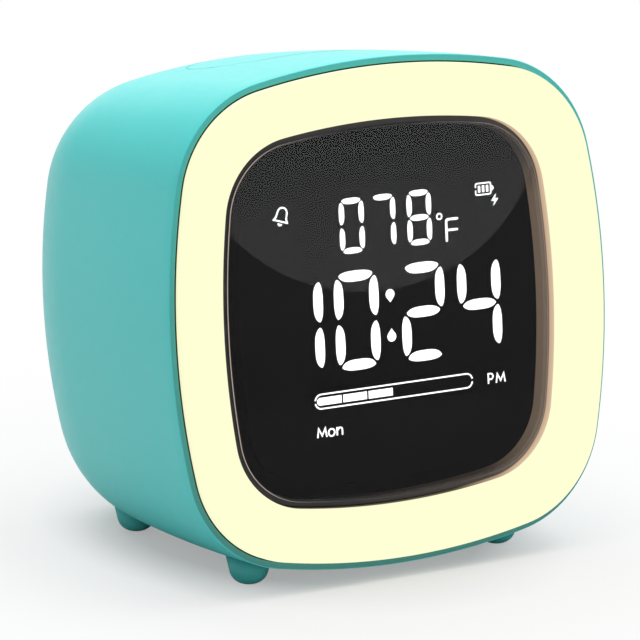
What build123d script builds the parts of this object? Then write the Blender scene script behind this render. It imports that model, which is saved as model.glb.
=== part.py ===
from build123d import *
import os
from dataclasses import astuple, dataclass
from math import asin, atan2, cos, degrees, pi, radians, sin, sqrt, tan

# A bedside digital alarm clock in the shape of a small rounded television, in millimetres.
# It is drawn upright with depth along +Y from the front edge of its light ring, then leaned
# back on its four feet. X is to the clock's right as it is read, Z is up.

# Front outline, at the outer edge of the light ring
FRONT_WIDTH = 100.0
FRONT_HEIGHT = 99.6
FRONT_SIDE_RADIUS = 148.2
FRONT_TOP_RADIUS = 152.7
FRONT_CORNER_RADIUS = 22.6

# Window outline, at the inner edge of the light ring
RING_BAND = 11.0
WINDOW_SIDE_RADIUS = 163.9
WINDOW_TOP_RADIUS = 160.4
WINDOW_CORNER_RADIUS = 16.5

# Case
LEAN = 4.9
GROUND_GAP = 0.45
RIM_WIDTH = 1.5
RIM_SETBACK = 1.9
RIM_EDGE_RADIUS = 0.5
BODY_DEPTH = 80.0
FLANK_RADIUS = 560.0
FLANK_SHARE = 0.6
BACK_SHARE = 0.65
BACK_EDGE_RADIUS = 5.0
CASE_WALL = 2.2
BACK_WALL = 3.6
RIM_DEPTH = 6.0
FRAME_BOSS = 14.0
FLANK_STEPS = 4
SHOULDER_STEPS = 6

# Light ring
RING_DISH = 2.2
RING_WALL = 2.0
RING_SKIRT = 1.3
RING_EDGE = 0.35

# Bezel frame, lens and display
LENS_INSET = 1.2
LENS_SETBACK = 0.4
LENS_THICKNESS = 1.05
LENS_EDGE = 0.2
LENS_LEDGE = 0.5
TUNNEL_DEPTH = 7.75
PLATE_THICKNESS = 1.6
PLATE_MARGIN = 2.4
DISPLAY_MARGIN = 2.95
DISPLAY_GLASS = 2.2
RIBBON_WIDTH = 20.0
RIBBON_THICKNESS = 0.3

# Digits of the display, as seven petal-shaped strokes each, drawn for a panel of this half size
LAYOUT_HALF = 34.15
DIGIT_THICKNESS = 0.08
PETAL_GAP = 0.2
TIME_WIDTH = 11.2
TIME_HEIGHT = 20.2
TIME_STROKE = 2.7
TIME_RISE = -1.1
TIME_INNER = 7.85
TIME_PITCH = 13.6
COLON_RADIUS = 0.95
COLON_RISE = 4.05
TEMPERATURE_WIDTH = 6.25
TEMPERATURE_HEIGHT = 11.1
TEMPERATURE_STROKE = 1.3
TEMPERATURE_RISE = 18.05
TEMPERATURE_PITCH = 8.0
BAR_LENGTH = 37.8
BAR_HEIGHT = 2.8
BAR_LINE = 0.4
BAR_RISE = -16.5
BAR_CELLS = 3
BAR_CELL_LENGTH = 5.7

# Circuit boards and what they carry
BOARD = 1.6
LED_SIZE = 2.8
LED_HEIGHT = 1.2
LED_OFFSETS = (-22.0, -7.5, 7.5, 22.0)
MAIN_INSET = 5.0
MAIN_HOLE_EDGE = 4.0
MAIN_POST = 5.0
CHIP_SIZE = 10.0
CHIP_HEIGHT = 1.4
SENSOR_RADIUS = 1.2
SENSOR_LENGTH = 4.0
BATTERY_SIDE = 8.25
BATTERY_END = 14.0
BATTERY_DEPTH = 9.0
TRAY_LEG = 5.4
TRAY_WALL = 1.6
TRAY_RIM = 5.0

# Snooze button in the top of the case
SNOOZE_LENGTH = 43.2
SNOOZE_WIDTH = 23.0
SNOOZE_SHARE = 0.476
SNOOZE_GAP = 0.25
SNOOZE_FLANGE = 1.6
SNOOZE_FLANGE_THICKNESS = 1.2
SNOOZE_TRAVEL = 0.8
SNOOZE_PLUNGER = 3.0
PLUNGER_RADIUS = 2.5
BRIDGE_WIDTH = 12.0
BRIDGE_THICKNESS = 2.0

# Rear cover, its keys, its speaker and its charging socket
COVER_INSET = 4.2
COVER_GAP = 0.2
COVER_THICKNESS = 2.2
COVER_LEDGE = 2.5
COVER_BOSS = 12.0
KEY_FLANGE = 1.0
KEY_PITCH_SHARE = 0.348
KEY_SIZE_SHARE = 0.334
KEY_RISE_SHARE = 0.48
KEY_PROUD = 1.0
KEY_GAP = 0.2
KEY_TRAVEL = 0.7
KEY_PLUNGER = 1.4
KEY_PLUNGER_LENGTH = 2.4
SPEAKER_GAP = 1.7
SPEAKER_RIM = 1.4
SPEAKER_DEPTH = 8.0
MAGNET_SHARE = 0.6
GASKET = 0.8
GRILLE_HOLE = 0.8
GRILLE_SHARE = 0.27
GRILLE_RINGS = 2
GRILLE_FIRST = 6
SOCKET_WIDTH = 9.0
SOCKET_HEIGHT = 3.26
SOCKET_LENGTH = 7.4
SOCKET_WALL = 0.3
SOCKET_SHARE = 0.634
SOCKET_TONGUE = 0.7
CHARGE_BOARD_WIDTH = 22.0
CHARGE_BOARD_LENGTH = 12.0
RAIL_WIDTH = 4.0
RAIL_HEIGHT = 2.2

# Feet
FOOT_SIDE = 20.5
FOOT_REAR_SIDE = 21.3
FOOT_FRONT = 8.8
FOOT_BACK = 26.0
FOOT_BLANK = 13.5
FOOT_RADIUS = 3.35
FOOT_DRAFT = 13.0
FOOT_EDGE = 3.2
FOOT_PEG_RADIUS = 2.0
FOOT_PEG = 1.2

# Switches, screws and clearances
SWITCH_SIZE = 6.0
SWITCH_HEIGHT = 3.5
SWITCH_BUTTON = 1.7
SWITCH_BUTTON_HEIGHT = 0.8
KEY_SWITCH_SIZE = 4.6
PRESS_MARGIN = 0.2
SCREW_RADIUS = 1.2
SCREW_HEAD = 2.3
SCREW_HEAD_HEIGHT = 1.3
SCREW_BITE = 7.0
SCREW_SLOT = 0.5
BOSS_WALL = 1.6
RING_GAP = 0.15
FIT = 0.1


@dataclass(frozen=True)
class Pillow:
    """A square outline with bowed sides and round corners, made of eight tangent arcs."""

    half_width: float
    half_height: float
    side_radius: float
    top_radius: float
    corner_radius: float

    def inset(self, by):
        return Pillow(*(value - by for value in astuple(self)))

    def scaled(self, by):
        return Pillow(*(value * by for value in astuple(self)))

    def corner_centre(self):
        side_centre = Vector(self.half_width - self.side_radius, 0)
        top_centre = Vector(0, self.half_height - self.top_radius)
        between = top_centre - side_centre
        side_reach = self.side_radius - self.corner_radius
        top_reach = self.top_radius - self.corner_radius
        along = (between.length**2 + side_reach**2 - top_reach**2) / (2 * between.length)
        across = sqrt(side_reach**2 - along**2)
        unit = between.normalized()
        return side_centre + unit * along + Vector(-unit.Y, unit.X) * across

    def corner(self):
        """The two ends and the middle of the upper right corner's arc, from side to top."""
        centre = self.corner_centre()
        to_side = (centre - Vector(self.half_width - self.side_radius, 0)).normalized()
        to_top = (centre - Vector(0, self.half_height - self.top_radius)).normalized()
        middle = (to_side + to_top).normalized()
        return [centre + way * self.corner_radius for way in (to_side, middle, to_top)]

    def right_edge(self, height):
        return self.half_width - self.side_radius + sqrt(self.side_radius**2 - height**2)

    def top_edge(self, across):
        return self.half_height - self.top_radius + sqrt(self.top_radius**2 - across**2)

    def face(self):
        flanks = (
            (1, 1, (0, self.half_height)),
            (-1, 1, (-self.half_width, 0)),
            (-1, -1, (0, -self.half_height)),
            (1, -1, (self.half_width, 0)),
        )
        loop = []
        for side, up, flank in flanks:
            corner = [(side * point.X, up * point.Y) for point in self.corner()]
            loop += corner if side * up > 0 else corner[::-1]
            loop.append(flank)
        loop.append(loop[0])
        return make_face([ThreePointArc(*loop[i : i + 3]) for i in range(0, len(loop) - 2, 2)])


FRONT = Pillow(
    FRONT_WIDTH / 2, FRONT_HEIGHT / 2, FRONT_SIDE_RADIUS, FRONT_TOP_RADIUS, FRONT_CORNER_RADIUS
)
WINDOW = Pillow(
    FRONT_WIDTH / 2 - RING_BAND,
    FRONT_HEIGHT / 2 - RING_BAND,
    WINDOW_SIDE_RADIUS,
    WINDOW_TOP_RADIUS,
    WINDOW_CORNER_RADIUS,
)
RIM = FRONT.inset(-RIM_WIDTH)
BACK = RIM.scaled(BACK_SHARE)
COVER = BACK.inset(COVER_INSET)
LENS = WINDOW.inset(LENS_INSET)
TUNNEL = LENS.inset(LENS_LEDGE)
DISPLAY = TUNNEL.inset(DISPLAY_MARGIN)
LIGHT_PATH = Pillow(*((a + b) / 2 for a, b in zip(astuple(FRONT), astuple(WINDOW))))

# Depths from the front edge of the light ring
BACK_FACE = RIM_SETBACK + BODY_DEPTH
RING_SEAT = RIM_SETBACK + RIM_DEPTH
LENS_FRONT = RING_DISH + LENS_SETBACK
LENS_BACK = LENS_FRONT + LENS_THICKNESS
DISPLAY_FRONT = LENS_BACK + FIT + DIGIT_THICKNESS
DISPLAY_BACK = DISPLAY_FRONT + DISPLAY_GLASS
PLATE_FRONT = LENS_BACK + TUNNEL_DEPTH
PLATE_BACK = PLATE_FRONT + PLATE_THICKNESS
LIGHT_BOARD_FRONT = PLATE_FRONT - BOARD
MAIN_FRONT = PLATE_BACK + MAIN_POST
MAIN_BACK = MAIN_FRONT + BOARD
TRAY_FRONT = MAIN_BACK + TRAY_LEG
TRAY_FLOOR = TRAY_FRONT + TRAY_WALL
COVER_INNER = BACK_FACE - COVER_THICKNESS
KEY_END = COVER_INNER - FIT - KEY_FLANGE - KEY_PLUNGER_LENGTH
KEY_BOARD_BACK = KEY_END - KEY_TRAVEL - PRESS_MARGIN - SWITCH_BUTTON_HEIGHT - SWITCH_HEIGHT
KEY_BOARD_FRONT = KEY_BOARD_BACK - BOARD

BOSS_RADIUS = SCREW_RADIUS + BOSS_WALL
HOLE_RADIUS = SCREW_RADIUS + FIT
FLANK_LENGTH = FLANK_SHARE * BODY_DEPTH
SNOOZE_CENTRE = RIM_SETBACK + SNOOZE_SHARE * BODY_DEPTH
MAIN_WIDTH = 2 * (DISPLAY.half_width - MAIN_INSET)
MAIN_HEIGHT = 2 * (DISPLAY.half_height - MAIN_INSET)
BATTERY_WIDTH = MAIN_WIDTH - 2 * BATTERY_SIDE
BATTERY_HEIGHT = MAIN_HEIGHT - 2 * BATTERY_END
RIBBON_Z = -DISPLAY.half_height - RIBBON_THICKNESS / 2

# Rear cover's layout, from its own height: keys above, socket below, speaker between them
KEYS = ("alarm_key", "set_key", "up_key", "down_key")
KEY_RISE = KEY_RISE_SHARE * COVER.half_height
KEY_PITCH = KEY_PITCH_SHARE * COVER.half_width
KEY_RADIUS = KEY_SIZE_SHARE * KEY_PITCH
KEY_PLACES = [(i - (len(KEYS) - 1) / 2) * KEY_PITCH for i in range(len(KEYS))]
POST_REACH = KEY_RADIUS + KEY_FLANGE + KEY_GAP + BOSS_RADIUS
POST_RISE = sqrt(POST_REACH**2 - (KEY_PITCH / 2) ** 2)
KEY_POSTS = [(0, KEY_RISE + POST_RISE), (-KEY_PITCH, KEY_RISE - POST_RISE), (KEY_PITCH, KEY_RISE - POST_RISE)]
SOCKET_DROP = SOCKET_SHARE * COVER.half_height
SOCKET_BASE = -SOCKET_DROP - SOCKET_HEIGHT / 2
SPEAKER_TOP = KEY_RISE - KEY_RADIUS - KEY_FLANGE - SPEAKER_GAP
SPEAKER_LOW = SOCKET_HEIGHT / 2 - SOCKET_DROP + SPEAKER_GAP
SPEAKER_Z = (SPEAKER_TOP + SPEAKER_LOW) / 2
SPEAKER_RADIUS = (SPEAKER_TOP - SPEAKER_LOW) / 2
MAGNET_RADIUS = MAGNET_SHARE * SPEAKER_RADIUS
GRILLE_PITCH = GRILLE_SHARE * SPEAKER_RADIUS
CLAMP_X = SPEAKER_RADIUS + FIT + BOSS_RADIUS
CLAMP_BACK = COVER_INNER - GASKET - SPEAKER_RIM
CLAMP_FRONT = CLAMP_BACK - BOARD
RAIL_X = (CHARGE_BOARD_WIDTH - RAIL_WIDTH) / 2


def four_corners(x, z):
    return [(x, z), (-x, z), (-x, -z), (x, -z)]


FRAME_CORNER = LIGHT_PATH.corner()[1]
FRAME_HOLES = four_corners(FRAME_CORNER.X, FRAME_CORNER.Y)
COVER_CORNER = COVER.inset(SCREW_HEAD + BOSS_WALL).corner()[1]
COVER_HOLES = four_corners(COVER_CORNER.X, COVER_CORNER.Y)
MAIN_HOLES = four_corners(MAIN_WIDTH / 2 - MAIN_HOLE_EDGE, MAIN_HEIGHT / 2 - MAIN_HOLE_EDGE)


def at_depth(sketch, depth):
    return Plane(origin=(0, depth, 0), x_dir=(1, 0, 0), z_dir=(0, -1, 0)) * sketch


def slab(sketch, front, back):
    """A front-view sketch made solid between two depths."""
    return extrude(at_depth(sketch, front), amount=back - front, dir=(0, 1, 0))


def rod(radius, x, z, front, back):
    return slab(Pos(x, z) * Circle(radius), front, back)


def upright(sketch, low, high):
    """A plan-view sketch made solid between two heights."""
    return extrude(Pos(0, 0, low) * sketch, amount=high - low)


def screw(x, z, seat, tip):
    """A cross-head screw along the depth, its head on the far side of its seat from its tip."""
    out = 1 if seat > tip else -1
    top = seat + out * SCREW_HEAD_HEIGHT
    shank = rod(SCREW_RADIUS, x, z, min(seat, tip), max(seat, tip))
    head = rod(SCREW_HEAD, x, z, min(seat, top), max(seat, top))
    bottom = top - out * SCREW_HEAD_HEIGHT / 2
    cross = Rectangle(SCREW_HEAD, SCREW_SLOT) + Rectangle(SCREW_SLOT, SCREW_HEAD)
    return shank + head - slab(Pos(x, z) * cross, min(bottom, top), max(bottom, top))


def screw_holes(places):
    return [Pos(x, z) * Circle(HOLE_RADIUS) for x, z in places]


def group(solids):
    """Like pieces that share one node, each its own solid."""
    return Part() + list(solids)


def case_profile(skin, depth_end):
    """Depth and inset of the case's side view: a long bowed flank, then a round shoulder."""
    flank_angle = asin(FLANK_LENGTH / FLANK_RADIUS)
    flank_inset = FLANK_RADIUS * (1 - cos(flank_angle))
    back_inset = RIM.half_width - BACK.half_width
    run, drop = BODY_DEPTH - FLANK_LENGTH, back_inset - flank_inset
    shoulder = (run**2 + drop**2) / 2 / (drop * cos(flank_angle) - run * sin(flank_angle))
    centre_depth = FLANK_LENGTH - shoulder * sin(flank_angle)
    centre_inset = flank_inset + shoulder * cos(flank_angle)
    end_angle = asin((depth_end - centre_depth) / (shoulder - skin))
    points = []
    for step in range(FLANK_STEPS):
        angle = flank_angle * step / FLANK_STEPS
        radius = FLANK_RADIUS - skin
        points.append((radius * sin(angle), FLANK_RADIUS - radius * cos(angle)))
    for step in range(SHOULDER_STEPS + 1):
        angle = flank_angle + (end_angle - flank_angle) * step / SHOULDER_STEPS
        radius = shoulder - skin
        points.append((centre_depth + radius * sin(angle), centre_inset - radius * cos(angle)))
    return points


def case_form(skin, depth_end):
    """The case's form, a skin's thickness inside its outer face."""
    sections = []
    for depth, inset in case_profile(skin, depth_end):
        outline = RIM.scaled(1 - inset / RIM.half_width)
        sections.append(at_depth(outline.face(), RIM_SETBACK + depth))
    return loft(sections)


def snooze_outline(grow):
    outline = SlotOverall(SNOOZE_LENGTH + 2 * grow, SNOOZE_WIDTH + 2 * grow)
    return Pos(0, SNOOZE_CENTRE) * outline


OUTER = case_form(0, BODY_DEPTH)
OUTER = fillet(OUTER.faces().sort_by(Axis.Y)[-1].edges(), BACK_EDGE_RADIUS)
OUTER = fillet(OUTER.faces().sort_by(Axis.Y)[0].edges(), RIM_EDGE_RADIUS)
CAVITY = case_form(CASE_WALL, BODY_DEPTH - BACK_WALL)
BRIDGE_X = SNOOZE_LENGTH / 2 + SNOOZE_FLANGE + SNOOZE_GAP + BOSS_RADIUS
SNOOZE_SEAT = (CAVITY & upright(snooze_outline(0), 0, FRONT_HEIGHT)).bounding_box().max.Z
PLUNGER_END = SNOOZE_SEAT - FIT - SNOOZE_FLANGE_THICKNESS - SNOOZE_PLUNGER
BRIDGE_TOP = PLUNGER_END - SNOOZE_TRAVEL - PRESS_MARGIN - SWITCH_BUTTON_HEIGHT - SWITCH_HEIGHT
BRIDGE_LOW = BRIDGE_TOP - BRIDGE_THICKNESS


def main_shell():
    shell = OUTER - CAVITY - slab(FRONT.inset(-RING_GAP).face(), RIM_SETBACK, RING_SEAT)
    for x, z in FRAME_HOLES:
        boss = rod(BOSS_RADIUS, x, z, PLATE_BACK, PLATE_BACK + FRAME_BOSS)
        web = Rectangle(FRONT_CORNER_RADIUS, BOSS_WALL, align=(Align.MIN, Align.CENTER))
        web = Pos(x, z) * Rot(0, 0, degrees(atan2(z, x))) * web
        rib = slab(web, PLATE_BACK, PLATE_BACK + FRAME_BOSS)
        shell += (boss + rib) & OUTER
        shell -= rod(HOLE_RADIUS, x, z, PLATE_BACK, PLATE_BACK + SCREW_BITE + FIT)
    for x, z in COVER_HOLES:
        shell += rod(BOSS_RADIUS, x, z, COVER_INNER - COVER_BOSS, COVER_INNER)
    for x in (-BRIDGE_X, BRIDGE_X):
        stud = Pos(x, SNOOZE_CENTRE) * Circle(BOSS_RADIUS)
        shell += upright(stud, BRIDGE_TOP, FRONT_HEIGHT) & OUTER
        hole = Pos(x, SNOOZE_CENTRE) * Circle(HOLE_RADIUS)
        shell -= upright(hole, BRIDGE_TOP, BRIDGE_TOP + SCREW_BITE)
    shell -= slab(COVER.inset(-COVER_GAP).face(), COVER_INNER, BACK_FACE)
    way_in = COVER.inset(COVER_LEDGE).face()
    way_in -= [Pos(x, z) * Circle(BOSS_RADIUS) for x, z in COVER_HOLES]
    shell -= slab(way_in, BACK_FACE - BACK_WALL - FIT, COVER_INNER)
    for x, z in COVER_HOLES:
        shell -= rod(HOLE_RADIUS, x, z, COVER_INNER - SCREW_BITE - FIT, COVER_INNER)
    shell -= upright(snooze_outline(0), 0, FRONT_HEIGHT)
    return shell


def light_ring():
    """Cream diffuser: a dished front over a channel that is open to the lamps behind it."""
    ring = slab(FRONT.face(), 0, RING_SEAT)
    dish = [at_depth(FRONT.inset(RING_EDGE).face(), 0), at_depth(WINDOW.face(), RING_DISH)]
    ring -= loft(dish, ruled=True)
    ring -= slab(WINDOW.face(), 0, RING_SEAT)
    channel = FRONT.inset(RING_SKIRT).face() - WINDOW.inset(-RING_SKIRT).face()
    ring -= slab(channel, RING_DISH + RING_WALL, RING_SEAT)
    inner_skirt = WINDOW.inset(-RING_SKIRT).face() - WINDOW.face()
    return ring + slab(inner_skirt, RING_DISH + RING_WALL, LIGHT_BOARD_FRONT)


def ribbon_slot():
    return Pos(0, RIBBON_Z) * Rectangle(RIBBON_WIDTH + 2 * RIBBON_THICKNESS, 3 * RIBBON_THICKNESS)


def bezel_frame():
    """Black frame inside the light ring: a narrow face under the lens, a tunnel and a back plate."""
    frame = slab(WINDOW.inset(RING_GAP).face(), LENS_BACK, PLATE_BACK)
    frame += slab(FRONT.inset(PLATE_MARGIN).face(), PLATE_FRONT, PLATE_BACK)
    frame -= slab(TUNNEL.face(), LENS_BACK, PLATE_FRONT)
    for x, z in FRAME_HOLES:
        frame -= rod(HOLE_RADIUS, x, z, PLATE_FRONT, PLATE_BACK)
    for x, z in MAIN_HOLES:
        frame += rod(BOSS_RADIUS, x, z, PLATE_BACK, MAIN_FRONT)
        frame -= rod(HOLE_RADIUS, x, z, PLATE_FRONT, MAIN_FRONT)
    return frame - slab(ribbon_slot(), PLATE_FRONT, PLATE_BACK)


def display_lens():
    """Smoked plate bonded to the frame's face, standing a little behind the light ring's edge."""
    lens = slab(LENS.face(), LENS_FRONT, LENS_BACK)
    return chamfer(lens.faces().sort_by(Axis.Y)[0].edges(), LENS_EDGE)


def display_panel():
    return slab(DISPLAY.face(), DISPLAY_FRONT, DISPLAY_BACK)


def backlight():
    """Light box behind the panel, which fills the frame's tunnel and lets the ribbon past."""
    return slab(TUNNEL.inset(FIT).face() - ribbon_slot(), DISPLAY_BACK, PLATE_FRONT)


def display_ribbon():
    """Flat cable from the panel's lower edge, through the bezel's plate, to the main board."""
    run = Pos(0, RIBBON_Z) * Rectangle(RIBBON_WIDTH, RIBBON_THICKNESS)
    ribbon = slab(run, DISPLAY_FRONT, MAIN_FRONT)
    top = -MAIN_HEIGHT / 2 + MAIN_HOLE_EDGE
    bottom = RIBBON_Z - RIBBON_THICKNESS / 2
    tail = Pos(0, (top + bottom) / 2) * Rectangle(RIBBON_WIDTH, top - bottom)
    return ribbon + slab(tail, MAIN_FRONT - RIBBON_THICKNESS, MAIN_FRONT)


STROKES = {
    "0": "abcdef",
    "1": "bc",
    "2": "abged",
    "4": "fgbc",
    "7": "abc",
    "8": "abcdefg",
}


def petal(length, width):
    upper = ThreePointArc((-length / 2, 0), (0, width / 2), (length / 2, 0))
    lower = ThreePointArc((length / 2, 0), (0, -width / 2), (-length / 2, 0))
    return make_face([upper, lower])


def digit(mark, x, z, width, height, stroke):
    """The lit strokes of one digit, as flat petals about the digit's centre."""
    side, rise = (width - stroke) / 2, (height - stroke) / 4
    gap = PETAL_GAP * stroke
    flat = petal(2 * side - gap, stroke)
    tall = Rot(0, 0, 90) * petal(2 * rise - gap, stroke)
    places = {
        "a": Pos(0, 2 * rise) * flat,
        "b": Pos(side, rise) * tall,
        "c": Pos(side, -rise) * tall,
        "d": Pos(0, -2 * rise) * flat,
        "e": Pos(-side, -rise) * tall,
        "f": Pos(-side, rise) * tall,
        "g": flat,
    }
    return [Pos(x, z) * places[name] for name in STROKES[mark]]


def display_digits():
    """Clock time, temperature and the bar below them, lit on the face of the panel."""
    marks = []
    time_places = (-TIME_INNER - TIME_PITCH, -TIME_INNER, TIME_INNER, TIME_INNER + TIME_PITCH)
    for mark, x in zip("1024", time_places):
        marks += digit(mark, x, TIME_RISE, TIME_WIDTH, TIME_HEIGHT, TIME_STROKE)
    for up in (-1, 1):
        marks.append(Pos(0, TIME_RISE + up * COLON_RISE) * Circle(COLON_RADIUS))
    temperature = (TEMPERATURE_RISE, TEMPERATURE_WIDTH, TEMPERATURE_HEIGHT, TEMPERATURE_STROKE)
    for mark, place in zip("078", (-1, 0, 1)):
        marks += digit(mark, place * TEMPERATURE_PITCH, *temperature)
    pill = SlotOverall(BAR_LENGTH, BAR_HEIGHT)
    hollow = SlotOverall(BAR_LENGTH - 2 * BAR_LINE, BAR_HEIGHT - 2 * BAR_LINE)
    marks.append(Pos(0, BAR_RISE) * (pill - hollow))
    cell = RectangleRounded(BAR_CELL_LENGTH, BAR_HEIGHT - 4 * BAR_LINE, BAR_LINE)
    first = (BAR_CELL_LENGTH - BAR_LENGTH) / 2 + 2 * BAR_LINE
    for i in range(BAR_CELLS):
        marks.append(Pos(first + i * (BAR_CELL_LENGTH + BAR_LINE), BAR_RISE) * cell)
    size = min(DISPLAY.half_width, DISPLAY.half_height) / LAYOUT_HALF
    marks = [scale(mark, size) for mark in marks]
    return group(slab(mark, DISPLAY_FRONT - DIGIT_THICKNESS, DISPLAY_FRONT) for mark in marks)


def light_board():
    """Frame-shaped board round the bezel, which carries the lamps of the light ring."""
    board = FRONT.inset(PLATE_MARGIN + FIT).face() - WINDOW.inset(-RING_GAP).face()
    board -= screw_holes(FRAME_HOLES)
    return slab(board, LIGHT_BOARD_FRONT, PLATE_FRONT)


def ring_leds():
    lamp = slab(Rectangle(LED_SIZE, LED_SIZE), LIGHT_BOARD_FRONT - LED_HEIGHT, LIGHT_BOARD_FRONT)
    lamps = []
    for offset in LED_OFFSETS:
        across, up = LIGHT_PATH.right_edge(offset), LIGHT_PATH.top_edge(offset)
        for x, z in ((across, offset), (-across, offset), (offset, up), (offset, -up)):
            lamps.append(Pos(x, 0, z) * lamp)
    return group(lamps)


def frame_screws():
    tip = PLATE_BACK + SCREW_BITE
    return group(screw(x, z, LIGHT_BOARD_FRONT, tip) for x, z in FRAME_HOLES)


def main_board():
    board = RectangleRounded(MAIN_WIDTH, MAIN_HEIGHT, MAIN_HOLE_EDGE / 2)
    board -= screw_holes(MAIN_HOLES)
    return slab(board, MAIN_FRONT, MAIN_BACK)


def clock_chip():
    return slab(Rectangle(CHIP_SIZE, CHIP_SIZE), MAIN_BACK, MAIN_BACK + CHIP_HEIGHT)


def temperature_sensor():
    rise = MAIN_HOLE_EDGE - MAIN_HEIGHT / 2
    bead = Pos(0, rise) * SlotOverall(SENSOR_LENGTH, 2 * SENSOR_RADIUS)
    return slab(bead, MAIN_BACK, MAIN_BACK + 2 * SENSOR_RADIUS)


def battery_tray():
    """Moulded tray on four legs, held with the main board by the same four screws."""
    tray = slab(RectangleRounded(MAIN_WIDTH, MAIN_HEIGHT, MAIN_HOLE_EDGE), TRAY_FRONT, TRAY_FLOOR)
    pocket = Rectangle(BATTERY_WIDTH + 2 * FIT, BATTERY_HEIGHT + 2 * FIT)
    wall = offset(pocket, TRAY_WALL) - pocket
    tray += slab(wall, TRAY_FLOOR, TRAY_FLOOR + TRAY_RIM)
    for x, z in MAIN_HOLES:
        tray += rod(BOSS_RADIUS, x, z, MAIN_BACK, TRAY_FRONT)
        tray -= rod(HOLE_RADIUS, x, z, MAIN_BACK, TRAY_FLOOR)
    return tray


def battery_cell():
    cell = slab(Rectangle(BATTERY_WIDTH, BATTERY_HEIGHT), TRAY_FLOOR, TRAY_FLOOR + BATTERY_DEPTH)
    return fillet(cell.edges().filter_by(Axis.Z) + cell.edges().filter_by(Axis.X), TRAY_WALL)


def board_screws():
    tip = MAIN_FRONT - MAIN_POST / 2
    return group(screw(x, z, TRAY_FLOOR, tip) for x, z in MAIN_HOLES)


def snooze_button():
    """Flush top button: its face follows the case, and a flange under the case keeps it in."""
    drop = FIT + SNOOZE_FLANGE_THICKNESS
    stem = upright(snooze_outline(-SNOOZE_GAP), 0, FRONT_HEIGHT) & OUTER
    flange = upright(snooze_outline(SNOOZE_FLANGE), 0, FRONT_HEIGHT) & (Pos(0, 0, -FIT) * CAVITY)
    button = stem + flange - Pos(0, 0, -drop) * CAVITY
    plunger = Pos(0, SNOOZE_CENTRE) * Circle(PLUNGER_RADIUS)
    return button + upright(plunger, PLUNGER_END, SNOOZE_SEAT - FIT)


def snooze_bridge():
    """Strip across the inside of the top, screwed to two studs, which carries the switch."""
    length = 2 * (BRIDGE_X + BOSS_RADIUS)
    strip = Pos(0, SNOOZE_CENTRE) * RectangleRounded(length, BRIDGE_WIDTH, BOSS_RADIUS)
    strip -= screw_holes([(-BRIDGE_X, SNOOZE_CENTRE), (BRIDGE_X, SNOOZE_CENTRE)])
    return upright(strip, BRIDGE_LOW, BRIDGE_TOP)


def snooze_switch():
    top = BRIDGE_TOP + SWITCH_HEIGHT
    body = upright(Rectangle(SWITCH_SIZE, SWITCH_SIZE), BRIDGE_TOP, top)
    body += upright(Circle(SWITCH_BUTTON), top, top + SWITCH_BUTTON_HEIGHT)
    return Pos(0, SNOOZE_CENTRE, 0) * body


def bridge_screws():
    screws = []
    for x in (-BRIDGE_X, BRIDGE_X):
        upright_screw = Rot(90, 0, 0) * screw(0, 0, 0, -SCREW_BITE)
        screws.append(Pos(x, SNOOZE_CENTRE, BRIDGE_LOW) * Rot(180, 0, 0) * upright_screw)
    return group(screws)


def grille_places():
    """Ring upon ring of holes about the speaker's axis, with as many more in each."""
    places = [(0, SPEAKER_Z)]
    for ring in range(1, GRILLE_RINGS + 1):
        radius = ring * GRILLE_PITCH
        for i in range(GRILLE_FIRST * ring):
            angle = 2 * pi * i / (GRILLE_FIRST * ring)
            places.append((radius * cos(angle), SPEAKER_Z + radius * sin(angle)))
    return places


def rear_cover():
    """Plate in the back of the case, with its keys' holes, speaker grille and socket's mouth."""
    cover = slab(COVER.face(), COVER_INNER, BACK_FACE)
    for x, z in COVER_HOLES:
        cover -= rod(SCREW_HEAD + FIT, x, z, BACK_FACE - SCREW_HEAD_HEIGHT, BACK_FACE)
        cover -= rod(HOLE_RADIUS, x, z, COVER_INNER, BACK_FACE)
    for x in KEY_PLACES:
        cover -= rod(KEY_RADIUS + KEY_GAP, x, KEY_RISE, COVER_INNER, BACK_FACE)
    for x, z in grille_places():
        cover -= rod(GRILLE_HOLE, x, z, COVER_INNER, BACK_FACE)
    mouth = SlotOverall(SOCKET_WIDTH + 2 * KEY_GAP, SOCKET_HEIGHT + 2 * KEY_GAP)
    cover -= slab(Pos(0, -SOCKET_DROP) * mouth, COVER_INNER, BACK_FACE)
    for x, z in KEY_POSTS:
        cover += rod(BOSS_RADIUS, x, z, KEY_BOARD_BACK, COVER_INNER)
        cover -= rod(HOLE_RADIUS, x, z, KEY_BOARD_BACK, KEY_BOARD_BACK + SCREW_BITE + FIT)
    for x in (-CLAMP_X, CLAMP_X):
        cover += rod(BOSS_RADIUS, x, SPEAKER_Z, CLAMP_BACK, COVER_INNER)
        cover -= rod(HOLE_RADIUS, x, SPEAKER_Z, CLAMP_BACK, COVER_INNER + COVER_THICKNESS / 2)
    for x in (-RAIL_X, RAIL_X):
        rail = Pos(x, SOCKET_BASE - BOARD - RAIL_HEIGHT / 2) * Rectangle(RAIL_WIDTH, RAIL_HEIGHT)
        cover += slab(rail, COVER_INNER - CHARGE_BOARD_LENGTH, COVER_INNER)
    return cover


def cover_screws():
    seat, tip = BACK_FACE - SCREW_HEAD_HEIGHT, COVER_INNER - SCREW_BITE
    return group(screw(x, z, seat, tip) for x, z in COVER_HOLES)


def key(x):
    """One rear key: a round cap with a flange behind the cover and a stem to its switch."""
    flange_back = COVER_INNER - FIT
    cap = rod(KEY_RADIUS, x, KEY_RISE, flange_back - KEY_FLANGE, BACK_FACE + KEY_PROUD)
    cap = fillet(cap.edges().sort_by(Axis.Y)[-1], KEY_PROUD / 2)
    flange = rod(KEY_RADIUS + KEY_FLANGE, x, KEY_RISE, flange_back - KEY_FLANGE, flange_back)
    return cap + flange + rod(KEY_PLUNGER, x, KEY_RISE, KEY_END, flange_back)


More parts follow.
